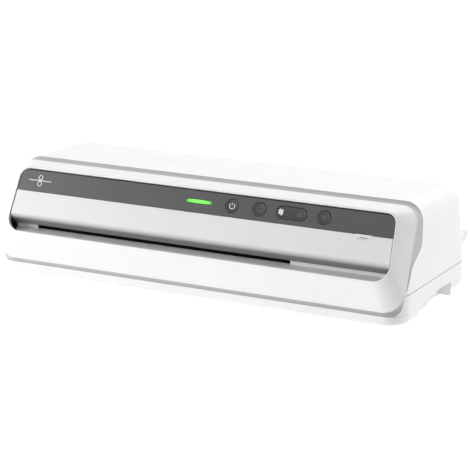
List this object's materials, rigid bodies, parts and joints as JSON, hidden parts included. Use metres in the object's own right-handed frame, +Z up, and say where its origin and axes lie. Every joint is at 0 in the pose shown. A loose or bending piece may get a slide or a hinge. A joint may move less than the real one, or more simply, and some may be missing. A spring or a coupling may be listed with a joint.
{
  "type": "pouch laminator",
  "caption": "Desktop pouch laminator with a wide sloping front, dark control strip, feed slot, geared roller train inside and a rear exit tray.",
  "frame": {"origin": "centre of the footprint, on the surface that the feet stand on", "axes": "+X to the machine's right end as seen from the front, +Y to the back where the pouch comes out, +Z up"},
  "size_m": [0.51, 0.2068, 0.123],
  "materials": {
    "white_plastic": "fine moulded texture, satin",
    "grey_trim": "satin",
    "hood_grey": "satin",
    "panel_grey": "semi-gloss printed overlay",
    "button_grey": "soft matte",
    "black_plastic": "matte",
    "green_lens": "translucent, lit",
    "rubber": "matte rubber",
    "silicone": "heat-resistant silicone",
    "steel": "zinc plated",
    "aluminium": "extruded",
    "gear_nylon": "natural nylon",
    "board_green": "solder mask"
  },
  "bodies": {
    "root": {"rear_housing": "white_plastic", "base_housing": "white_plastic", "front_bezel": "white_plastic", "trim_band": "grey_trim", "panel_carrier": "black_plastic", "slot_guide": "black_plastic", "mains_inlet": "black_plastic", "switch_frame": "black_plastic", "control_panel": "panel_grey", "feed_hood": "hood_grey", "feed_shelf": "hood_grey", "exit_tray": "hood_grey", "status_lens": "green_lens", "left_frame": "steel", "right_frame": "steel", "gear_plate": "steel", "tie_bar_front": "steel", "tie_bar_rear": "steel", "drive_motor": "steel", "left_leaf_spring": "steel", "right_leaf_spring": "steel", "upper_heater": "aluminium", "lower_heater": "aluminium", "control_board": "board_green", "power_board": "board_green", "foot_front_left": "rubber", "foot_rear_left": "rubber", "foot_front_right": "rubber", "foot_rear_right": "rubber"},
    "power_button": {"power_button": "button_grey"},
    "reverse_button": {"reverse_button": "button_grey"},
    "auto_button": {"auto_button": "button_grey"},
    "mode_button": {"mode_button": "button_grey"},
    "release_tab": {"release_tab": "hood_grey"},
    "rocker_switch": {"rocker_switch": "black_plastic"},
    "lower_heated_roller": {"lower_heated_shaft": "steel", "lower_heated_sleeve": "silicone", "lower_heated_gear": "gear_nylon"},
    "lower_infeed_roller": {"lower_infeed_shaft": "steel", "lower_infeed_sleeve": "rubber", "lower_infeed_gear": "gear_nylon"},
    "upper_infeed_roller": {"upper_infeed_shaft": "steel", "upper_infeed_sleeve": "rubber", "upper_infeed_gear": "gear_nylon"},
    "upper_heated_roller": {"upper_heated_shaft": "steel", "upper_heated_sleeve": "silicone", "upper_heated_gear": "gear_nylon"},
    "lower_exit_roller": {"lower_exit_shaft": "steel", "lower_exit_sleeve": "rubber", "lower_exit_gear": "gear_nylon"},
    "upper_exit_roller": {"upper_exit_shaft": "steel", "upper_exit_sleeve": "rubber", "upper_exit_gear": "gear_nylon"},
    "idler_gear_1": {"idler_gear_1": "gear_nylon"},
    "idler_gear_2": {"idler_gear_2": "gear_nylon"},
    "motor_pinion": {"motor_pinion": "steel"},
    "sensor_flag": {"sensor_flag": "black_plastic"}
  },
  "joints": [
    {"name": "power_button_press", "type": "slide", "parent": "root", "child": "power_button", "axis": [0, 0.898, -0.4399], "range_m": [0, 0.0009], "stiffness_N_per_m": 600},
    {"name": "reverse_button_press", "type": "slide", "parent": "root", "child": "reverse_button", "axis": [0, 0.898, -0.4399], "range_m": [0, 0.0009], "stiffness_N_per_m": 600},
    {"name": "auto_button_press", "type": "slide", "parent": "root", "child": "auto_button", "axis": [0, 0.898, -0.4399], "range_m": [0, 0.0009], "stiffness_N_per_m": 600},
    {"name": "mode_button_press", "type": "slide", "parent": "root", "child": "mode_button", "axis": [0, 0.898, -0.4399], "range_m": [0, 0.0009], "stiffness_N_per_m": 600},
    {"name": "release_tab_press", "type": "slide", "parent": "root", "child": "release_tab", "axis": [0, 0.898, -0.4399], "range_m": [0, 0.0015], "stiffness_N_per_m": 600},
    {"name": "rocker_switch_tip", "type": "hinge", "parent": "root", "child": "rocker_switch", "pos_m": [0.15, 0.0787, 0.021], "axis": [1, 0, 0], "range_deg": [-9, 9]},
    {"name": "lower_heated_spin", "type": "hinge", "parent": "root", "child": "lower_heated_roller", "pos_m": [0.138, -0.00648, 0.04826], "axis": [1, 0, 0], "continuous": true},
    {"name": "lower_infeed_spin", "type": "hinge", "parent": "root", "child": "lower_infeed_roller", "pos_m": [0.138, -0.04922, 0.04414], "axis": [1, 0, 0], "continuous": true},
    {"name": "upper_infeed_spin", "type": "hinge", "parent": "root", "child": "upper_infeed_roller", "pos_m": [0.138, -0.05098, 0.06246], "axis": [1, 0, 0], "continuous": true},
    {"name": "upper_heated_spin", "type": "hinge", "parent": "root", "child": "upper_heated_roller", "pos_m": [0.138, -0.00825, 0.06657], "axis": [1, 0, 0], "continuous": true},
    {"name": "lower_exit_spin", "type": "hinge", "parent": "root", "child": "lower_exit_roller", "pos_m": [0.138, 0.03625, 0.05237], "axis": [1, 0, 0], "continuous": true},
    {"name": "upper_exit_spin", "type": "hinge", "parent": "root", "child": "upper_exit_roller", "pos_m": [0.138, 0.03449, 0.07069], "axis": [1, 0, 0], "continuous": true},
    {"name": "idler_gear_1_spin", "type": "hinge", "parent": "root", "child": "idler_gear_1", "pos_m": [0.138, -0.02785, 0.0462], "axis": [1, 0, 0], "continuous": true},
    {"name": "idler_gear_2_spin", "type": "hinge", "parent": "root", "child": "idler_gear_2", "pos_m": [0.138, 0.01489, 0.05031], "axis": [1, 0, 0], "continuous": true},
    {"name": "motor_pinion_spin", "type": "hinge", "parent": "root", "child": "motor_pinion", "pos_m": [0.138, 0.0168, 0.03047], "axis": [1, 0, 0], "continuous": true},
    {"name": "sensor_flag_swing", "type": "hinge", "parent": "root", "child": "sensor_flag", "pos_m": [-0.19, -0.02945, 0.06282], "axis": [1, 0, 0], "range_deg": [0, 35], "stiffness_Nm_per_rad": 0.0004}
  ],
  "couplings": [
    {"joint": "lower_infeed_spin", "follows": "lower_heated_spin", "ratio": 1},
    {"joint": "upper_infeed_spin", "follows": "lower_heated_spin", "ratio": -1},
    {"joint": "upper_heated_spin", "follows": "lower_heated_spin", "ratio": -1},
    {"joint": "lower_exit_spin", "follows": "lower_heated_spin", "ratio": 1},
    {"joint": "upper_exit_spin", "follows": "lower_heated_spin", "ratio": -1},
    {"joint": "idler_gear_1_spin", "follows": "lower_heated_spin", "ratio": -0.75},
    {"joint": "idler_gear_2_spin", "follows": "lower_heated_spin", "ratio": -0.75},
    {"joint": "motor_pinion_spin", "follows": "lower_heated_spin", "ratio": 1.2}
  ]
}
